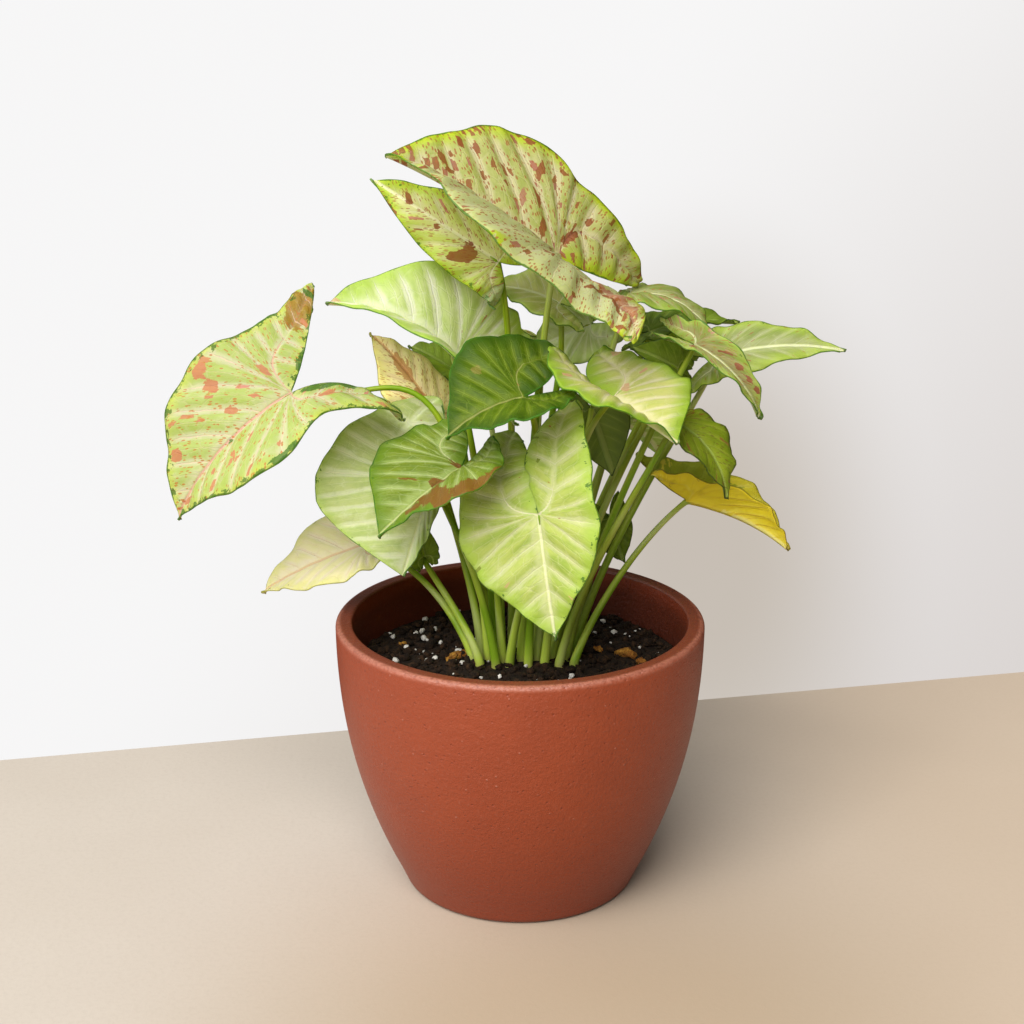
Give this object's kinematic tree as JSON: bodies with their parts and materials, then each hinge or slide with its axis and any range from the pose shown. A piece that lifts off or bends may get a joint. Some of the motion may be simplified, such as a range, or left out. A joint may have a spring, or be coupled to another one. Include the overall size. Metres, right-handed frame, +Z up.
{
  "type": "potted syngonium",
  "caption": "Bushy syngonium with arrowhead leaves, speckled cream, lime, green and rust, in a round unglazed clay pot filled with dark potting soil.",
  "frame": {"origin": "middle of the pot's flat base, on the surface it stands on", "axes": "+Z up along the pot's axis, -Y towards the side of the picture, +X to the right in the picture"},
  "size_m": [0.2889, 0.2089, 0.3301],
  "materials": {
    "clay": "unglazed fired clay, matt, slightly pebbled",
    "soil": "loose damp potting mix, matt",
    "stalk": "living stem, faint sheen",
    "lime": "pale lime living leaf with cream veins, satin",
    "green": "mid-green living leaf, satin",
    "cream": "cream-lime leaf with rust and pink flecks, satin",
    "yellow": "yellowing or tan leaf, satin",
    "grey": "whitish grey-green leaf, satin",
    "olive": "dark olive leaf or leaf underside, satin",
    "pink": "pinkish green leaf with maroon flecks, satin"
  },
  "bodies": {
    "root": {"pot": "clay", "soil": "soil", "blade_top_speckled": "cream", "stalk_top_speckled": "stalk", "blade_back_speckled": "cream", "stalk_back_speckled": "stalk", "blade_left_speckled": "cream", "stalk_left_speckled": "stalk", "blade_upper_pale": "lime", "stalk_upper_pale": "stalk", "blade_middle_green": "green", "stalk_middle_green": "stalk", "blade_middle_lime": "lime", "stalk_middle_lime": "stalk", "blade_left_rust": "green", "stalk_left_rust": "stalk", "blade_front_lime": "lime", "stalk_front_lime": "stalk", "blade_left_grey": "grey", "stalk_left_grey": "stalk", "blade_left_cream": "yellow", "stalk_left_cream": "stalk", "blade_left_tan": "yellow", "stalk_left_tan": "stalk", "blade_left_small": "olive", "stalk_left_small": "stalk", "blade_back_olive": "grey", "stalk_back_olive": "stalk", "blade_back_mist": "grey", "stalk_back_mist": "stalk", "blade_right_arched": "grey", "stalk_right_arched": "stalk", "blade_right_thin": "olive", "stalk_right_thin": "stalk", "blade_right_long": "grey", "stalk_right_long": "stalk", "blade_right_pink": "pink", "stalk_right_pink": "stalk", "blade_right_olive": "olive", "stalk_right_olive": "stalk", "blade_right_yellow": "yellow", "stalk_right_yellow": "stalk", "blade_low_dark": "olive", "stalk_low_dark": "stalk", "blade_low_curled": "olive", "stalk_low_curled": "stalk", "blade_middle_shade": "olive", "stalk_middle_shade": "stalk", "blade_right_shade": "olive", "stalk_right_shade": "stalk", "blade_right_shadow": "olive", "stalk_right_shadow": "stalk", "blade_rear_left": "lime", "stalk_rear_left": "stalk", "blade_rear_middle": "cream", "stalk_rear_middle": "stalk", "blade_rear_right": "green", "stalk_rear_right": "stalk"}
  },
  "joints": []
}
